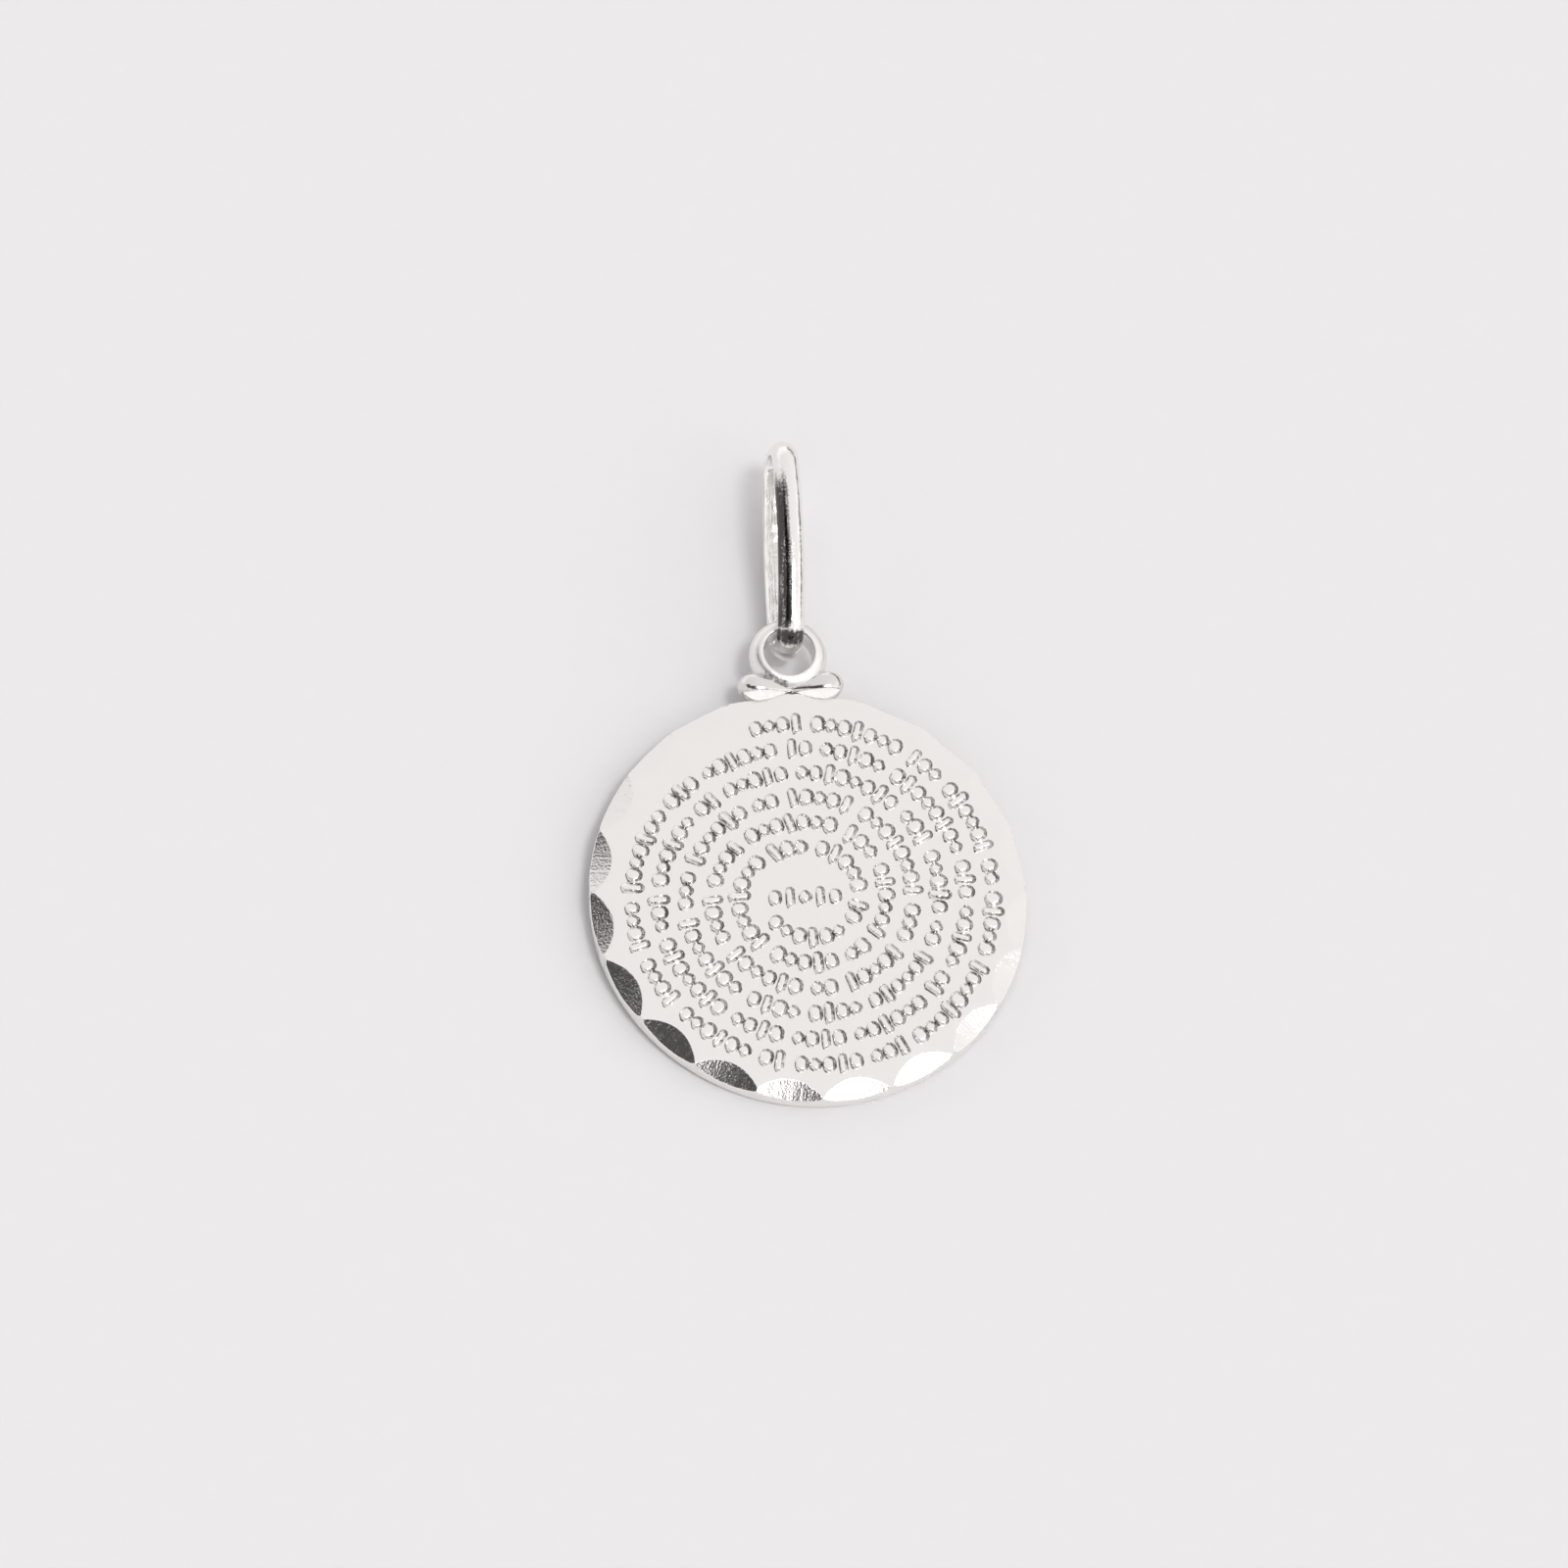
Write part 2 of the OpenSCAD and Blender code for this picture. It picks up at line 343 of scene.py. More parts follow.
# Painted shade and painted dark reflections: the silver's colour is darkened in patches, by the
# mark less the fine noise
patchiness = -3.0
painted_shade_colour = (0.09, 0.08, 0.078, 1)
patches = bpy.data.node_groups.new("painted_shade_patches", "ShaderNodeTree")
for label, kind in (("Mark", "Float"), ("Fine", "Float"), ("Clean", "Color")):
    patches.interface.new_socket(label, in_out="INPUT", socket_type="NodeSocket" + kind)
patches.interface.new_socket("Color", in_out="OUTPUT", socket_type="NodeSocketColor")
patches_in = patches.nodes.new("NodeGroupInput").outputs
patches_out = patches.nodes.new("NodeGroupOutput").inputs
patchy = patches.nodes.new("ShaderNodeMath")
patchy.operation = "MULTIPLY_ADD"
patchy.inputs[1].default_value = patchiness
patchy.use_clamp = True
tint = patches.nodes.new("ShaderNodeMix")
tint.data_type = "RGBA"
tint.inputs["B"].default_value = painted_shade_colour
patches.links.new(patches_in["Fine"], patchy.inputs[0])
patches.links.new(patches_in["Mark"], patchy.inputs[2])
patches.links.new(patches_in["Clean"], tint.inputs["A"])
patches.links.new(patchy.outputs[0], tint.inputs["Factor"])
patches.links.new(tint.outputs["Result"], patches_out["Color"])


def silver(name, rough, values, colour=(0.93, 0.915, 0.90), run=None, cut=None, painted_dark=None):
    """Polished silver: the skin group, with these values, feeds a bump and lets the
    roughness wander. Its lines follow the attribute named run. Where cut is given, it is
    the skin of the parts that the attribute bright_cut marks, and its lines follow
    cutter_pass. The last argument names the attribute that marks where painted shade
    and painted dark reflections darken the colour."""
    bump = 0.000004
    material, nodes, links, shader, where = new_material(name)
    shader.inputs["Metallic"].default_value = 1.0
    shader.inputs["Base Color"].default_value = (*colour, 1)

    def named(attribute, output):
        """What the mesh keeps under this name."""
        node = nodes.new("ShaderNodeAttribute")
        node.attribute_name = attribute
        return node.outputs[output]

    def skin_of(values, run):
        """The skin group's height and fine noise, with these values."""
        group = nodes.new("ShaderNodeGroup")
        group.node_tree = skin
        for label, value in zip(("Grain Size", "Grain", "Peel", "Lines"), values):
            group.inputs[label].default_value = value
        links.new(where, group.inputs["Place"])
        links.new(named(run, "Vector") if run else where, group.inputs["Run"])
        return group.outputs

    height, fine = skin_of(values, run)
    if cut:
        bright = named("bright_cut", "Fac")
        mixed = []
        for face_socket, cut_socket in zip((height, fine), skin_of(cut, "cutter_pass")):
            mix = nodes.new("ShaderNodeMix")
            links.new(bright, mix.inputs["Factor"])
            links.new(face_socket, mix.inputs["A"])
            links.new(cut_socket, mix.inputs["B"])
            mixed.append(mix.outputs["Result"])
        height, fine = mixed
    if painted_dark:
        group = nodes.new("ShaderNodeGroup")
        group.node_tree = patches
        links.new(named(painted_dark, "Fac"), group.inputs["Mark"])
        links.new(fine, group.inputs["Fine"])
        group.inputs["Clean"].default_value = (*colour, 1)
        links.new(group.outputs["Color"], shader.inputs["Base Color"])
    wander = nodes.new("ShaderNodeMapRange")
    wander.inputs["From Min"].default_value = 0.1
    wander.inputs["From Max"].default_value = 0.4
    wander.inputs["To Min"].default_value = rough[0]
    wander.inputs["To Max"].default_value = rough[1]
    links.new(fine, wander.inputs["Value"])
    links.new(wander.outputs["Result"], shader.inputs["Roughness"])
    lift = nodes.new("ShaderNodeBump")
    lift.inputs["Strength"].default_value = 1.0
    lift.inputs["Distance"].default_value = bump
    links.new(height, lift.inputs["Height"])
    links.new(lift.outputs["Normal"], shader.inputs["Normal"])
    return material


disc.data.materials.append(silver(
    "cast_silver", (0.10, 0.20), (9000.0, 0.7, 0.5, 0.0), cut=(11000.0, 3.0, 1.5, 2.2)
))
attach(disc, "root")
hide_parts("medallion")

# The raised ornament is cast with the disc: a spiral of pearls, lozenges and reels in
# groups, and a short straight row in the middle. Casting leaves each one a little
# different, and the buffing has worn them all to a gentler slope on one side.
relief_h = 0.22
row_r = 7.5
row_pitch = 1.1
mark_count = 271
mark_step = 0.56
group_gap = 0.34
group_sizes = [4, 7, 3, 6, 2, 5, 8, 3, 5, 2, 6, 4]
row_begins = -13
ease_from = 240
middle_kinds = [0, 2, 1, 2, 0]
middle_step = 0.62
middle_at = (-0.25, -0.2)
mark_sides = 12
mark_drag = np.array([0.07, 0.075])
# One row for each ring of a mark, from below the face to the middle of its top: how far
# it stands out from the edge of the top, in mm, and its height as a share. The top of a
# pearl is a low dome.
mark_rings = np.array([
    [0.17, -0.25],
    [0.135, 0.03],
    [0.03, 0.88],
    [-0.005, 1.0],
    [-0.085, 1.0],
])
# Painted shade: how dark each ring of a mark is painted on the side that faces this way,
# where the relief's sides read dark
painted_shade_way = np.array([0.88, 0.47])
painted_shade_rings = np.array([1.5, 1.5, 1.25, 0.4, 0.0, 0.0])
shade_from = 0.1
shade_over = 0.3
size_spread = 0.05
height_spread = 0.07
skew_spread = radians(3)
top_share = 0.16
least_top = 0.25
dome_height = 1.14
dome_flat = 0.6
lozenge_reach = 1.3
lozenge_point = 0.85
# Half width of the top and half length of the straight part of each kind, in mm
pearl = (0.17, 0.06)
lozenge = (0.14, 0.0)
reel = (0.07, 0.26)


def row_radius(angle):
    """Radius of the spiral at an angle clockwise from the eye: it keeps a row's radius
    for two thirds of a turn, then eases in by one pitch along half a cosine."""
    whole = angle // 360
    t = min(max((angle - 360 * whole - ease_from) / (360 - ease_from), 0), 1)
    return row_r - row_pitch * (whole + (1 - cos(pi * t)) / 2)


def mark_outlines(kind):
    """Outline of a mark's top as a centre line and an offset round it: a stadium for a
    pearl and a reel, and a circle squared to a diamond for a lozenge."""
    half_width, half_straight = (pearl, lozenge, reel)[kind]
    a = np.linspace(0, 2 * pi, mark_sides, endpoint=False) + pi / mark_sides
    spread = np.ones_like(a)
    if kind == 1:
        spread = lozenge_reach / (np.abs(np.cos(a)) + np.abs(np.sin(a))) ** lozenge_point
    direction = spread[:, None] * np.stack([np.cos(a), np.sin(a)], -1)
    line = np.stack([np.zeros_like(a), half_straight * np.sign(np.sin(a))], -1)
    return line, half_width, direction


group_ends = set(np.cumsum(group_sizes).tolist())
group_cycle = sum(group_sizes)
places = []
angle = row_begins
for i in range(mark_count):
    kind = 1 if i % 4 == 1 else 2 if i % 4 == 3 else 0
    r = row_radius(max(angle, 0))
    places.append((kind, r * sin(radians(angle)), r * cos(radians(angle)), -radians(angle)))
    ends = i % group_cycle + 1 in group_ends
    angle += np.degrees((mark_step + (group_gap if ends else 0)) / r)
for i, kind in enumerate(middle_kinds):
    places.append((kind, middle_at[0] + (i - 2) * middle_step, middle_at[1], 0.0))
places = np.array(places)
hand = np.random.default_rng(4)
mark_points = []
mark_faces = []
mark_painted_shade = []
mark_flat = []
ring_count = len(mark_rings) + 1
for kind in range(3):
    line, half_width, direction = mark_outlines(kind)
    own = places[places[:, 0] == kind]
    count = len(own)
    size = 1 + size_spread * hand.standard_normal((count, 1, 1, 1)).clip(-2, 2)
    tall = 1 + height_spread * hand.standard_normal((count, 1, 1)).clip(-2, 1)
    skew = own[:, 3] + skew_spread * hand.standard_normal(count).clip(-2, 2)
    east_of, north_of = np.cos(skew)[:, None, None], np.sin(skew)[:, None, None]
    out = np.append(half_width + mark_rings[:, 0], 0)[:, None, None]
    share = np.append(np.ones(len(mark_rings)), 1 if kind == 2 else top_share)[:, None, None]
    rise = np.append(mark_rings[:, 1], dome_height if kind == 0 else 1.0)
    flat = (line * share + out.clip(least_top * half_width) * direction)[None] * size
    outward = np.stack([
        flat[..., 0] * east_of - flat[..., 1] * north_of,
        flat[..., 0] * north_of + flat[..., 1] * east_of,
    ], -1) + (1 - rise)[:, None, None] * mark_drag
    turned = outward + own[:, None, None, 1:3]
    height = disc_t + relief_h * rise[:, None] * tall * np.ones((1, 1, mark_sides))
    shape = np.concatenate([turned, height[..., None]], -1)
    outward /= np.linalg.norm(outward, axis=-1, keepdims=True)
    facing_away = ((outward @ painted_shade_way - shade_from) / shade_over).clip(0, 1)
    painted_shade = facing_away * painted_shade_rings[:, None]
    mark_painted_shade.append(painted_shade.ravel())
    level_top = np.array([0, 0, 0, 0.8, dome_flat if kind == 0 else 1, 1])
    mark_flat.append(np.broadcast_to(level_top[:, None], painted_shade.shape).ravel())
    start = sum(len(p) for p in mark_points)
    mark_points.append(shape.reshape(-1, 3))
    one = grid_faces(ring_count, mark_sides)
    every = np.arange(count)[:, None, None] * ring_count * mark_sides + start
    mark_faces.append((one[None] + every).reshape(-1, 4))
all_marks = as_it_lies(np.concatenate(mark_points))
per_mark = ring_count * mark_sides
mark_total = len(all_marks) // per_mark
side_faces = np.concatenate(mark_faces).tolist()
bottoms = (np.arange(mark_total)[:, None] * per_mark + np.arange(mark_sides)[::-1]).tolist()
tops = (
    np.arange(mark_total)[:, None] * per_mark
    + (ring_count - 1) * mark_sides
    + np.arange(mark_sides)
).tolist()
mesh = bpy.data.meshes.new("ornament")
mesh.from_pydata((all_marks * MM).tolist(), [], side_faces + bottoms + tops)
mesh.shade_smooth()
mesh.validate()
# The tops are as flat as the face, up to their edges
face_up = np.array([0, -sin(lie_tilt), cos(lie_tilt)])
lean_normals(mesh, np.concatenate(mark_flat)[:, None], face_up)
# Painted shade on the sides of the marks that face one way
put_values(mesh, "painted_shade", np.concatenate(mark_painted_shade))
ornament = bpy.data.objects.new("ornament", mesh)
bpy.context.scene.collection.objects.link(ornament)
ornament.data.materials.append(silver(
    "worn_silver_painted_shade", (0.12, 0.22), (12000.0, 1.0, 0.5, 0.0), painted_dark="painted_shade"
))
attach(ornament, "root")

# The eye is a thick ring that the bail goes through, cast on the end of the disc. Its
# hole is drilled, with a narrow bevel, and its outside is rounded by the polishing.
eye_hole_d = 2.1
eye_wall = 0.57
eye_t = 1.1
eye_y = 10.75
eye_back = -0.1
eye_bevel = 0.06
eye_flat = 0.1
ring_sides = 160


def ring_profile(steps=28):
    """Section of the ring as radius and height: half an ellipse outside, standing on two
    short flats, and a straight hole with a rounded bevel at each end."""
    crown = eye_wall - eye_flat
    outer = eye_hole_d / 2 + eye_wall
    a = np.linspace(0, pi, steps)
    outside = np.stack([outer - crown + crown * np.sin(a), -eye_t / 2 * np.cos(a)], -1)
    hole = eye_hole_d / 2
    a = np.linspace(0, pi / 2, 5)
    bevel = np.stack([
        hole + eye_bevel * (1 - np.sin(a)), eye_t / 2 - eye_bevel * (1 - np.cos(a))
    ], -1)
    wall = np.stack([np.full(5, hole), np.linspace(0.8, -0.8, 5) * (eye_t / 2 - eye_bevel)], -1)
    return np.concatenate([outside, bevel, wall, bevel[::-1] * [1, -1]])


section = ring_profile()
a = np.linspace(0, 2 * pi, ring_sides, endpoint=False)[None, :]
radius = section[:, :1]
ring = np.stack([
    radius * np.sin(a),
    eye_y + radius * np.cos(a),
    np.broadcast_to(section[:, 1:] + eye_back + eye_t / 2, (len(section), ring_sides)),
], -1)
eye = closed_piece(
    "eye", as_it_lies(ring.reshape(-1, 3)), grid_faces(len(section), ring_sides, True)
)


def between(here, start, end, easing_in, easing_out):
    """1 between two angles, easing to 0 at each of them over so many degrees."""
    return ((here - start) / easing_in).clip(0, 1) * ((end - here) / easing_out).clip(0, 1)


# Painted dark reflection: the ring's outer half above the left lobe of the bow is darkened in its
# colour
reflection_turns = (178, 240, 12, 14)
reflection_r = 1.22
reflection_band = 0.12
reflection_depth = 1.3
painted_reflection = reflection_depth * between(np.degrees(a), *reflection_turns)
painted_reflection = painted_reflection * ((radius - reflection_r) / reflection_band).clip(0, 1) * (section[:, 1:] > 0)
put_values(eye.data, "painted_reflection", painted_reflection.ravel())
eye.data.materials.append(silver(
    "tumbled_silver", (0.28, 0.40), (9000.0, 2.4, 0.8, 0.6), (0.89, 0.875, 0.86),
    painted_dark="painted_reflection",
))
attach(eye, "root")

# The bow hides the joint of the eye and the disc: two teardrop lobes, cast in one with
# them and buffed to a high shine, pinched to a thin neck in the middle.
bow_l = 4.44
lobe_d = 1.16
lobe_rise = radians(4)
lobe_y = 9.25
lobe_z = 0.48
lobe_neck = 0.22
lobe_swell = 2.2
lobe_lean = radians(14)
lobe_square = 0.75
lobe_thin = 0.97
lobe_crowding = 1.6
lobe_steps = 44
lobe_sides = 64
middle_ease = 0.15
leaf_turn = 163
leaf_x = 1.12
leaf_half_l = 0.9
leaf_half_turn = 30
leaf_edge = 5
leaf_facing = np.array([0.086, -0.453, 0.888])
dark_line_depth = 1.5
dark_line_off = 4
dark_line_half = 7

t = 1 - (1 - lobe_neck) * (1 - np.linspace(0, 1, lobe_steps)) ** lobe_crowding
half_r = lobe_thin * lobe_d / 2 * np.sqrt(np.sin(pi * np.minimum(t, 1) ** lobe_swell).clip(0))
half_x = (t - lobe_neck) / (1 - lobe_neck) * bow_l / 2
along = np.concatenate([-half_x[:0:-1], half_x])[1:-1, None]
thick = np.concatenate([half_r[:0:-1], half_r])[1:-1, None]
rise = np.sqrt(along ** 2 + middle_ease ** 2) * np.tan(lobe_rise)
a = np.linspace(0, 2 * pi, lobe_sides, endpoint=False)
# The section is a circle squared a little, and leans back
flank = np.sign(np.cos(a)) * np.abs(np.cos(a)) ** lobe_square
crown = np.sign(np.sin(a)) * np.abs(np.sin(a)) ** lobe_square
flank, crown = (
    flank * cos(lobe_lean) + crown * sin(lobe_lean), crown * cos(lobe_lean) - flank * sin(lobe_lean)
)
lobes = np.stack([
    np.broadcast_to(along, (len(along), lobe_sides)),
    lobe_y + rise + thick * flank,
    lobe_z + thick * crown,
], -1)
tips = [[x, lobe_y + bow_l / 2 * np.tan(lobe_rise), lobe_z] for x in (-bow_l / 2, bow_l / 2)]
points = np.concatenate([lobes.reshape(-1, 3), tips])
last = len(points) - 2
bow = closed_piece("bow", as_it_lies(points), np.concatenate([
    grid_faces(len(along), lobe_sides),
    fan_faces(0, lobe_sides, last)[:, [1, 0, 2, 3]],
    fan_faces((len(along) - 1) * lobe_sides, lobe_sides, last + 1),
]))
# Each lobe's front is filed to a flat leaf. A painted dark reflection darkens a line along its
# upper edge
leaf = leaf_half_turn * np.sqrt((1 - ((np.abs(along) - leaf_x) / leaf_half_l) ** 2).clip(0))
off = np.degrees(a) - leaf_turn
filed = ((leaf - np.abs(off)) / leaf_edge).clip(0, 1)
lean_normals(bow.data, np.append(filed.ravel(), [0, 0])[:, None], leaf_facing)
dark_line = (1 - np.abs(leaf + dark_line_off + off) / dark_line_half).clip(0, 1)
dark_line = dark_line_depth * dark_line * (leaf > 2)
put_values(bow.data, "dark_line", np.append(dark_line.ravel(), [0, 0]))
# The bow's silver is set darker than the disc's: painted shade, so that its reflection reads dimmer
bow.data.materials.append(silver(
    "buffed_silver", (0.10, 0.20), (9000.0, 0.8, 0.8, 0.6), (0.80, 0.785, 0.77),
    painted_dark="dark_line",
))
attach(bow, "root")

# The bail is a loop of half-round silver wire, soldered shut: its outside is buffed
# bright, and its flat inside keeps the small dents of the pliers that closed it.
wire_w = 1.12
wire_t = 0.62
half_l = 4.15
half_h = 1.28
loop_end_r = 0.9
bail_pitch = radians(8)
bail_yaw = radians(2.2)
bail_lean = radians(6)
bail_near = (0.0, 5.7070, 1.4494)
wire_edge = 0.07
edge_turn = 0.16
arc_points = 41
edge_points = 6
flat_points = 13
seam = 0.05
arc_columns = 72
# Waves of the pliers' dents and of the buffing: times round the loop, lean across the
# wire, start and share of each
dent = 0.07
dent_waves = ((11, 1.2, 0.6, 1.0), (18, -2.4, 0.0, 0.8), (31, 3.2, 2.0, 0.5))
all_dents = 2.3
wave = 0.012
buff_waves = ((7, 1.5, 0.0, 0.6), (17, -2.5, 1.0, 0.4))

long_r = ((half_l - loop_end_r) ** 2 + half_h ** 2 - loop_end_r ** 2) / (2 * (half_h - loop_end_r))
long_turn = np.arcsin((half_l - loop_end_r) / (long_r - loop_end_r))
round_r = (wire_t ** 2 + wire_w ** 2 / 4) / (2 * wire_t)
round_at = wire_t - round_r


def loop_line():
    """The loop's inner line as centres, radii and angles: two long arcs and two short
    ones, each meeting the next along the same tangent."""
    end_turn = pi - 2 * long_turn
    arcs = [
        (0, half_h - long_r, long_r, pi / 2 + long_turn, -2 * long_turn),
        (half_l - loop_end_r, 0, loop_end_r, pi / 2 - long_turn, -end_turn),
        (0, long_r - half_h, long_r, long_turn - pi / 2, -2 * long_turn),
        (loop_end_r - half_l, 0, loop_end_r, -pi / 2 - long_turn, -end_turn),
    ]
    share = np.arange(arc_columns) / arc_columns
    return np.concatenate([
        np.stack(np.broadcast_arrays(x, y, r, start + turned * share), -1)
        for x, y, r, start, turned in arcs
    ])


def wire_section():
    """The half-round section as height off the inner line and side: an arc of a little
    more than half a circle, two eased corners, and the flat."""
    open_turn = np.arccos(-round_at / round_r)
    corner_turn = open_turn - edge_turn
    a = np.linspace(-corner_turn, corner_turn, arc_points)
    arc = np.stack([round_at + round_r * np.cos(a), round_r * np.sin(a)], -1)
    flat_side = wire_w / 2 - wire_edge
    flat = np.stack([np.zeros(flat_points), np.linspace(flat_side, -flat_side, flat_points)], -1)
    corner = np.array([0, wire_w / 2])
    t = np.linspace(0, 1, edge_points + 2)[1:-1, None]
    up = (1 - t) ** 2 * arc[-1] + 2 * t * (1 - t) * corner + t ** 2 * flat[0]
    return np.concatenate([arc, up, flat, up[::-1] * [1, -1]])


line = loop_line()
section = wire_section()
flat_part = arc_points + edge_points + np.arange(flat_points)
centre_x, centre_y, inner, angle = (line[:, k, None] for k in range(4))
height = np.broadcast_to(section[:, 0], (len(line), len(section))).copy()
side = np.broadcast_to(section[:, 1], height.shape)
way = np.concatenate([[0], np.cumsum(np.abs(np.diff(line[:, 3])) * line[:-1, 2])])[:, None]
girth = (way[-1, 0] + seam) / (2 * pi)
round_trip = way / girth


def round_wave(turns, lean, start):
    """A sine, this many times round the loop, whose crests lean across the wire."""
    return np.sin(turns * round_trip + lean * side + start)


def facets(turns, lean, start):
    """The same wave with straight flanks: the arcsine of a sine."""
    return np.arcsin(round_wave(turns, lean, start)) * 2 / pi


bumps = sum(share * facets(*wave_at) for *wave_at, share in dent_waves) / all_dents
inside = 1 - (np.abs(side) / (wire_w / 2)) ** 6
height[:, flat_part] += (dent * (0.5 + 0.5 * bumps) * inside)[:, flat_part]
buffed = wave * sum(share * round_wave(*wave_at) for *wave_at, share in buff_waves)
fade = np.cos(np.linspace(-pi / 2, pi / 2, arc_points))
height[:, :arc_points] += buffed[:, :arc_points] * fade
loop_x = centre_x + (inner + height) * np.cos(angle) + half_l
loop_y = centre_y + (inner + height) * np.sin(angle)
turned = (
    Matrix.Rotation(-bail_yaw, 3, "Z")
    @ Matrix.Rotation(bail_pitch, 3, "X")
    @ Matrix.Rotation(bail_lean, 3, "Y")
)
points = np.stack([side, loop_x, loop_y], -1).reshape(-1, 3) @ np.array(turned).T + bail_near
bail = closed_piece("bail_loop", points, grid_faces(len(line), len(section), True))
# Across the wire, and round a circle as long as the loop
wire_run = np.stack(np.broadcast_arrays(
    side + 0.3 * height, girth * np.cos(round_trip), girth * np.sin(round_trip)
), -1)
put_values(bail.data, "wire_run", wire_run.reshape(-1, 3) * MM)
# Painted shade darkens the near end where it goes into the eye, and a painted dark reflection
# darkens the upper leg along its left flank
here = np.degrees(angle) % 360
end_turns = (112, 153, 10, 14)
end_depth = 1.95
flank_turns = (77, 118, 5, 3)
flank_side = -0.02
flank_band = 0.24
flank_depth = 1.8
end_shade = between(here, *end_turns)
flank_reflection = between(here, *flank_turns) * ((flank_side - side) / flank_band).clip(0, 1)
flank_reflection[:, flat_part] = 0
wire_shade = np.maximum(end_depth * end_shade, flank_depth * flank_reflection)
put_values(bail.data, "wire_shade", wire_shade.ravel())
bail.data.materials.append(silver(
    "wire_silver", (0.05, 0.14), (10000.0, 2.6, 1.2, 3.0), run="wire_run", painted_dark="wire_shade"
))
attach(bail, "root")
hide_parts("bail")

# The floor is a sheet of smooth white paper, which reaches well past the view. Its
# fibres show as the faintest mottle.
floor_half = 0.9
fibre_size = 900
mesh = bpy.data.meshes.new("paper")
mesh.from_pydata(
    [(x * floor_half, y * floor_half, 0) for x, y in ((-1, -1), (1, -1), (1, 1), (-1, 1))],
    [],
    [(0, 1, 2, 3)],
)
paper = bpy.data.objects.new("paper", mesh)
bpy.context.scene.collection.objects.link(paper)
paper_white, nodes, links, shader, where = new_material("white_paper")
shader.inputs["Roughness"].default_value = 0.75
shader.inputs["Specular IOR Level"].default_value = 0.2
fibre = nodes.new("ShaderNodeTexNoise")
fibre.inputs["Scale"].default_value = fibre_size
fibre.inputs["Detail"].default_value = 4
links.new(where, fibre.inputs["Vector"])
tone = nodes.new("ShaderNodeMix")
tone.data_type = "RGBA"
tone.inputs["A"].default_value = (0.802, 0.801, 0.813, 1)
tone.inputs["B"].default_value = (0.821, 0.820, 0.832, 1)
links.new(fibre.outputs["Fac"], tone.inputs["Factor"])
links.new(tone.outputs["Result"], shader.inputs["Base Color"])
paper.data.materials.append(paper_white)

# The studio is a light room, a little brighter on the right, with a small lamp overhead
# on the right. Whiter cards hang in front, on the right and low at the back. Dark are the
# camera and what is behind it, a gap high on the left, a low one at the back on the right,
# and a narrow one low in front.
room_level = 0.88
room_slope = 0.08
room_colour = (1.0, 0.98, 0.975, 1)
dark_depth = 0.93
dark_soft = 0.03
card_level = 0.20
card_soft = 0.04
lamp_level = 15.0
lamp_soft = 0.05
# Each place in the sky lies between these limits to the east, to the north and upwards
dark_gaps = (
    ((-0.75, -0.44), (-0.24, 0.45), (0.58, 2)),
    ((-0.52, -0.02), (-0.48, 0.12), (0.80, 2)),
    ((0.30, 2), (0.02, 2), (-2, 0.16)),
    ((-0.40, 0.60), (-2, -0.84), (0.26, 0.42)),
)
white_cards = (
    ((0.50, 0.97), (-0.75, -0.14), (0.30, 2)),
    ((0.74, 0.97), (0.15, 0.50), (0.34, 0.54)),
    ((0.80, 0.97), (-0.10, 0.20), (0.34, 0.60)),
    ((0.06, 0.52), (-0.75, -0.20), (0.14, 2)),
    ((-0.80, 0.25), (0.60, 2), (-2, 0.40)),
)
lamps = (((0.14, 0.36), (-0.29, -0.05), (0.50, 2)),)
room = bpy.data.worlds.new("studio")
bpy.context.scene.world = room
room.use_nodes = True
nodes, links = room.node_tree.nodes, room.node_tree.links
background = nodes["Background"]
split = nodes.new("ShaderNodeSeparateXYZ")
sky = nodes.new("ShaderNodeTexCoord").outputs["Generated"]
links.new(sky, split.inputs[0])
east, north, height = split.outputs


def room_maths(operation, *values):
    """One Math node of the room's shader on sockets or numbers."""
    node = nodes.new("ShaderNodeMath")
    node.operation = operation
    for socket, value in zip(node.inputs, values):
        if isinstance(value, (int, float)):
            socket.default_value = value
        else:
            links.new(value, socket)
    return node.outputs[0]


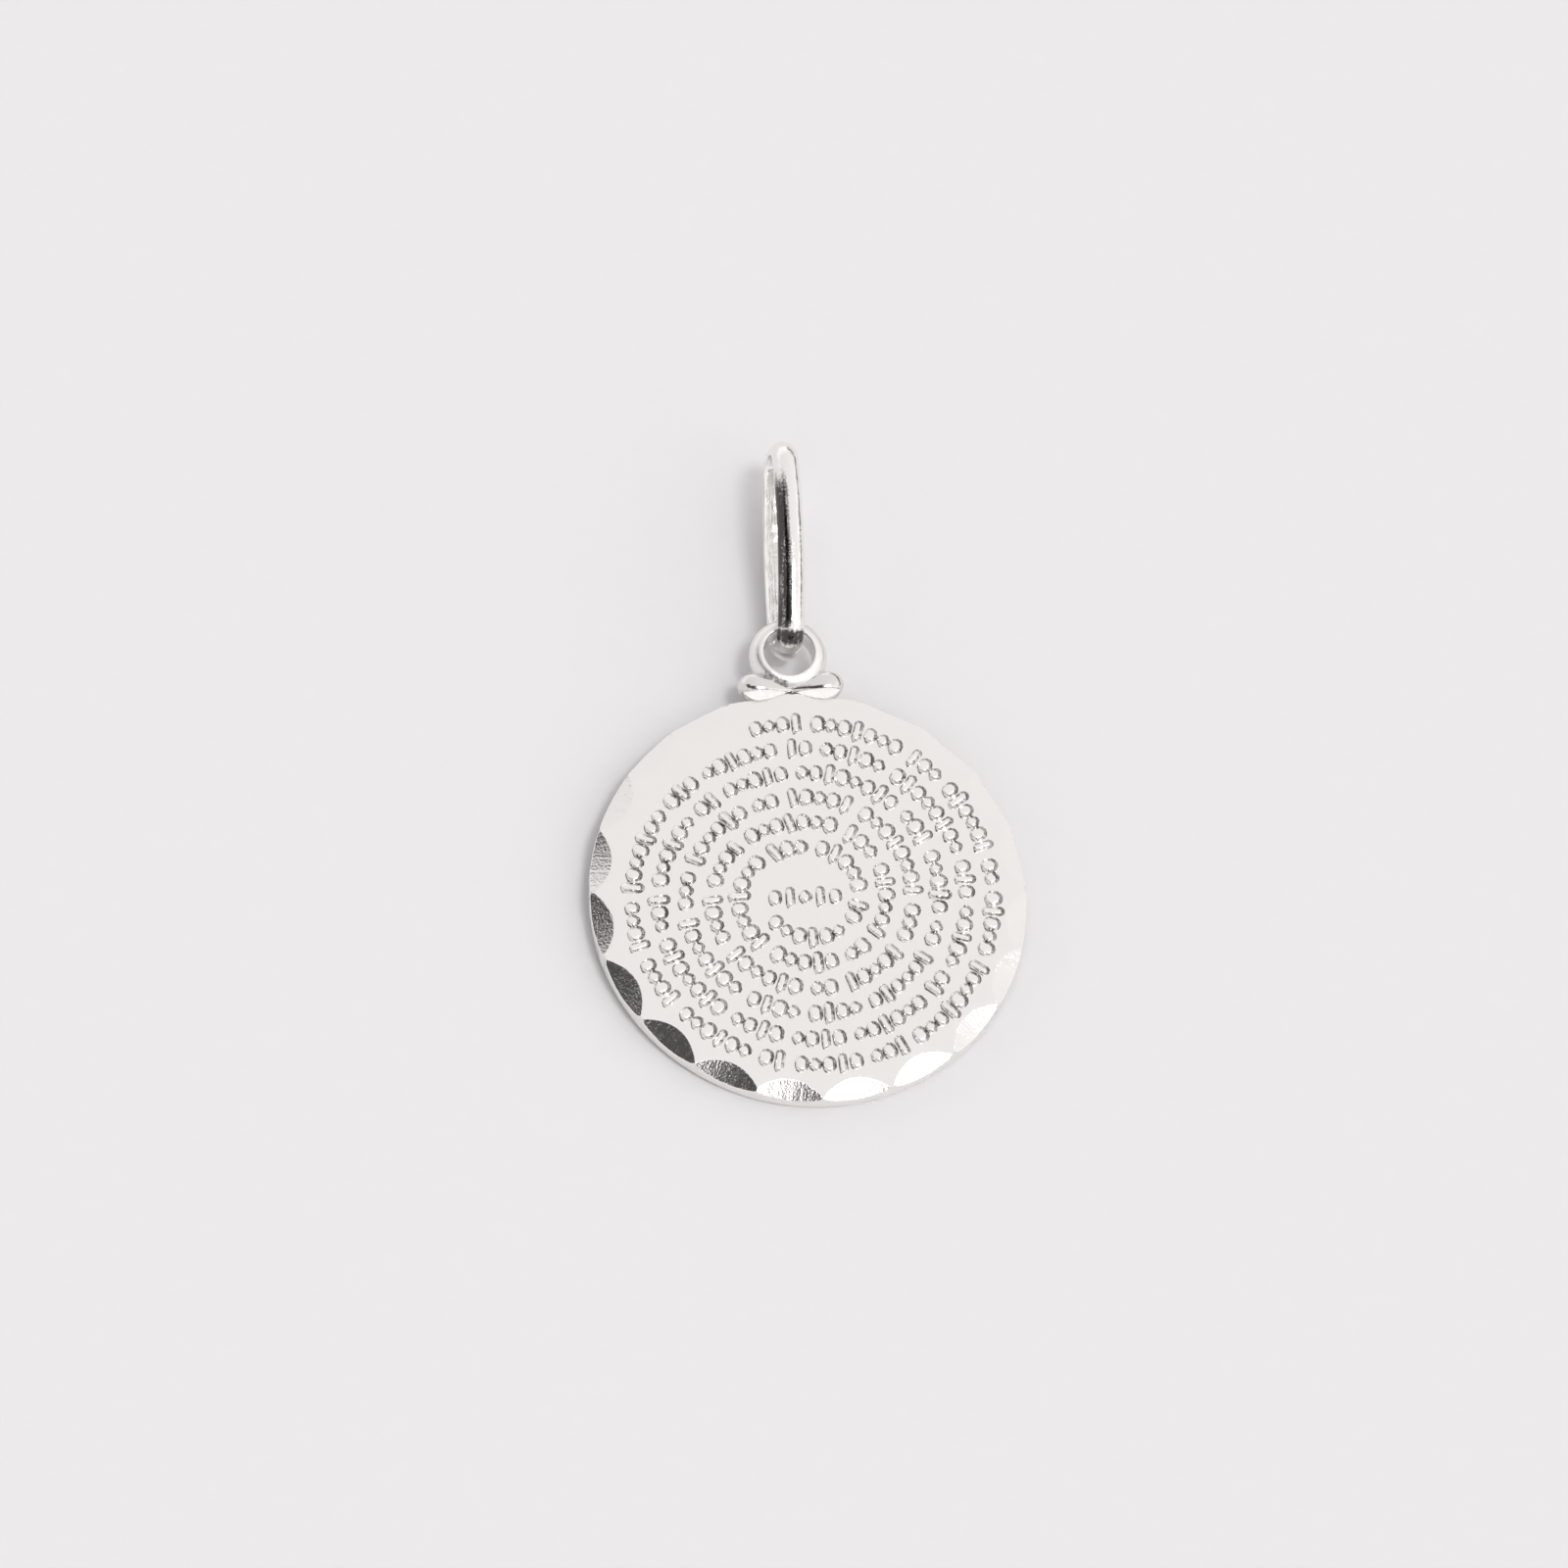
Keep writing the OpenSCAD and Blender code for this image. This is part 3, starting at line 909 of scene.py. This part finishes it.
def ramp(value, start, end):
    """0 where the value is at start, easing to 1 where it is at end."""
    edge = nodes.new("ShaderNodeMapRange")
    edge.interpolation_type = "SMOOTHSTEP"
    edge.inputs["From Min"].default_value = start
    edge.inputs["From Max"].default_value = end
    links.new(value, edge.inputs["Value"])
    return edge.outputs["Result"]


def place_in_sky(x, y, z, soft):
    """1 where the direction lies between these limits along each axis, with edges that
    ease out over soft on each side. A limit of 2 is none."""
    inside = None
    for value, (low, high) in zip((east, north, height), (x, y, z)):
        for start, end in ((low - soft, low + soft), (high + soft, high - soft)):
            if abs(start) < 1.5:
                edge = ramp(value, start, end)
                inside = edge if inside is None else room_maths("MULTIPLY", inside, edge)
    return inside


def any_of(places, soft):
    """1 where the direction lies in one of these places: the greatest of them."""
    found = None
    for limits in places:
        one = place_in_sky(*limits, soft)
        found = one if found is None else room_maths("MAXIMUM", found, one)
    return found


dark = any_of(dark_gaps, dark_soft)
white = any_of(white_cards, card_soft)
lamp = any_of(lamps, lamp_soft)
level = room_maths("MULTIPLY_ADD", east, room_slope, room_level)
level = room_maths("MULTIPLY_ADD", white, card_level, level)
level = room_maths("MULTIPLY", level, room_maths("MULTIPLY_ADD", dark, -dark_depth, 1.0))
level = room_maths("MULTIPLY_ADD", lamp, lamp_level, level)
links.new(level, background.inputs["Strength"])
background.inputs["Color"].default_value = room_colour

# The camera stands nearly over the pendant, a little to the left and turned.
camera = bpy.data.objects.new("camera", bpy.data.cameras.new("camera"))
bpy.context.scene.collection.objects.link(camera)
camera.data.sensor_width = 36
camera.data.lens = 144.643
camera.data.clip_start = 0.01
camera.data.clip_end = 4
right = (0.990817, -0.083819, 0.106094)
up = (0.028841, 0.897624, 0.439817)
back = (-0.132097, -0.432719, 0.891799)
stand = (-34.7885 * MM, -112.5076 * MM, 231.8771 * MM)
camera.matrix_world = Matrix([
    (right[k], up[k], back[k], stand[k]) for k in range(3)
] + [(0, 0, 0, 1)])
bpy.context.scene.camera = camera
bpy.context.scene.view_settings.view_transform = "Standard"
